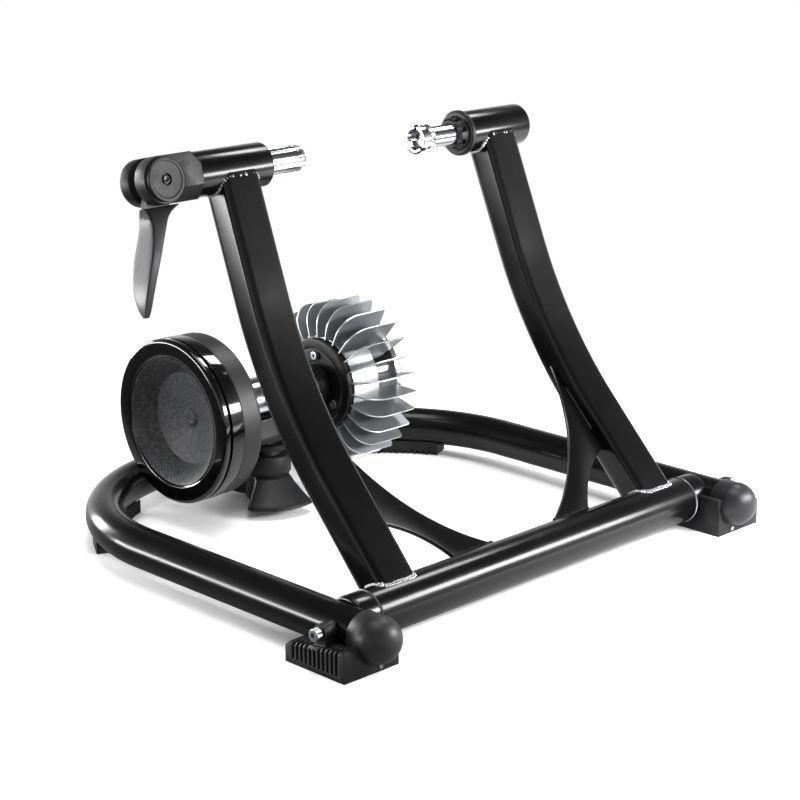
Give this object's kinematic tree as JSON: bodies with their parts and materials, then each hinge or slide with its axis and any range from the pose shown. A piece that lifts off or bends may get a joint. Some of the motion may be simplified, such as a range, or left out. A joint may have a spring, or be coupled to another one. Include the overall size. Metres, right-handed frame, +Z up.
{
  "type": "fluid bike trainer",
  "caption": "Folding stand that clamps a bicycle's rear axle and presses the tyre on a roller with a flywheel and a finned fluid drum.",
  "frame": {"origin": "on the floor under the middle of the object", "axes": "+X along the crossbar from the clamp lever's side to the axle cup's side, +Y from the crossbar back to the curve of the base, +Z up"},
  "size_m": [0.5658, 0.5181, 0.3969],
  "materials": {
    "black_paint": "gloss black powder coat",
    "black_plastic": "matte black moulded plastic",
    "black_rubber": "black rubber",
    "flywheel_enamel": "high-gloss black enamel",
    "woven_mesh": "dark woven wire mesh",
    "chrome": "chrome plate",
    "polished_aluminium": "polished aluminium",
    "zinc_plate": "bright zinc plate"
  },
  "bodies": {
    "base": {"base_tube": "black_paint", "left_end_cap": "black_plastic", "right_end_cap": "black_plastic", "left_front_foot": "black_plastic", "right_front_foot": "black_plastic", "left_foot_clamp_bolt": "zinc_plate", "right_foot_clamp_bolt": "zinc_plate", "left_foot_pin": "zinc_plate", "right_foot_pin": "zinc_plate", "left_rear_pad": "black_rubber", "right_rear_pad": "black_rubber", "left_pivot_stub": "black_paint", "right_pivot_stub": "black_paint", "left_pivot_washer": "zinc_plate", "right_pivot_washer": "zinc_plate", "unit_bracket": "black_paint", "unit_pivot_bolt": "zinc_plate", "unit_pivot_nut": "zinc_plate"},
    "upright_frame": {"crossbar": "black_paint", "left_upright": "black_paint", "right_upright": "black_paint", "left_gusset": "black_paint", "right_gusset": "black_paint", "left_barrel": "black_paint", "plunger_bush": "black_plastic", "cam_housing": "black_plastic", "cam_pivot_bolt": "black_plastic", "right_barrel": "black_paint", "threaded_insert": "zinc_plate"},
    "clamp_lever": {"clamp_lever_arm": "black_plastic"},
    "clamp_plunger_slide": {"clamp_plunger": "chrome"},
    "axle_cup_slide": {"threaded_rod": "chrome", "axle_cup": "chrome"},
    "lock_nut_spin": {"lock_nut": "black_plastic"},
    "resistance_unit": {"unit_yoke": "black_paint", "left_bearing_carrier": "black_paint", "right_bearing_carrier": "black_paint", "left_bearing": "zinc_plate", "right_bearing": "zinc_plate", "flywheel_shroud": "black_plastic", "drum_end_plate": "black_paint", "end_plate_screw_1": "zinc_plate", "end_plate_screw_2": "zinc_plate", "end_plate_screw_3": "zinc_plate", "shaft_seal": "black_rubber", "finned_drum": "polished_aluminium", "drum_rear_cover": "polished_aluminium", "rear_cover_screw_1": "zinc_plate", "rear_cover_screw_2": "zinc_plate", "rear_cover_screw_3": "zinc_plate"},
    "rotor": {"drive_shaft": "zinc_plate", "drive_roller": "chrome", "flywheel": "flywheel_enamel", "flywheel_mesh_liner": "woven_mesh", "impeller": "polished_aluminium"},
    "knob": {"tension_knob": "black_plastic"},
    "tension_screw_slide": {"tension_screw": "zinc_plate"}
  },
  "joints": [
    {"name": "frame_fold", "type": "hinge", "parent": "base", "child": "upright_frame", "pos_m": [0, -0.193, 0.02885], "axis": [1, 0, 0], "range_deg": [0, 120]},
    {"name": "lever_swing", "type": "hinge", "parent": "upright_frame", "child": "clamp_lever", "pos_m": [-0.2505, 0.027, 0.3727], "axis": [0, 0.9744, -0.225], "range_deg": [0, 100]},
    {"name": "plunger_slide", "type": "slide", "parent": "upright_frame", "child": "clamp_plunger_slide", "axis": [-1, 0, 0], "range_m": [0, 0.0101]},
    {"name": "axle_cup_slide", "type": "slide", "parent": "upright_frame", "child": "axle_cup_slide", "axis": [1, 0, 0], "range_m": [-0.015, 0.02]},
    {"name": "lock_nut_turn", "type": "hinge", "parent": "upright_frame", "child": "lock_nut_spin", "pos_m": [0.1146, 0.027, 0.3727], "axis": [1, 0, 0], "continuous": true},
    {"name": "unit_swing", "type": "hinge", "parent": "base", "child": "resistance_unit", "pos_m": [-0.024, 0.211, 0.076], "axis": [-1, 0, 0], "range_deg": [0, 18]},
    {"name": "rotor_spin", "type": "hinge", "parent": "resistance_unit", "child": "rotor", "pos_m": [-0.012, 0.1564, 0.1072], "axis": [1, 0, 0], "continuous": true},
    {"name": "knob_turn", "type": "hinge", "parent": "base", "child": "knob", "pos_m": [-0.024, 0.144, 0.009], "axis": [0, 0, 1], "continuous": true},
    {"name": "screw_rise", "type": "slide", "parent": "base", "child": "tension_screw_slide", "axis": [0, 0, 1], "range_m": [0, 0.019]}
  ],
  "couplings": [
    {"joint": "plunger_slide", "follows": "lever_swing", "m_per_rad": 0.00573},
    {"joint": "screw_rise", "follows": "unit_swing", "m_per_rad": 0.06}
  ]
}
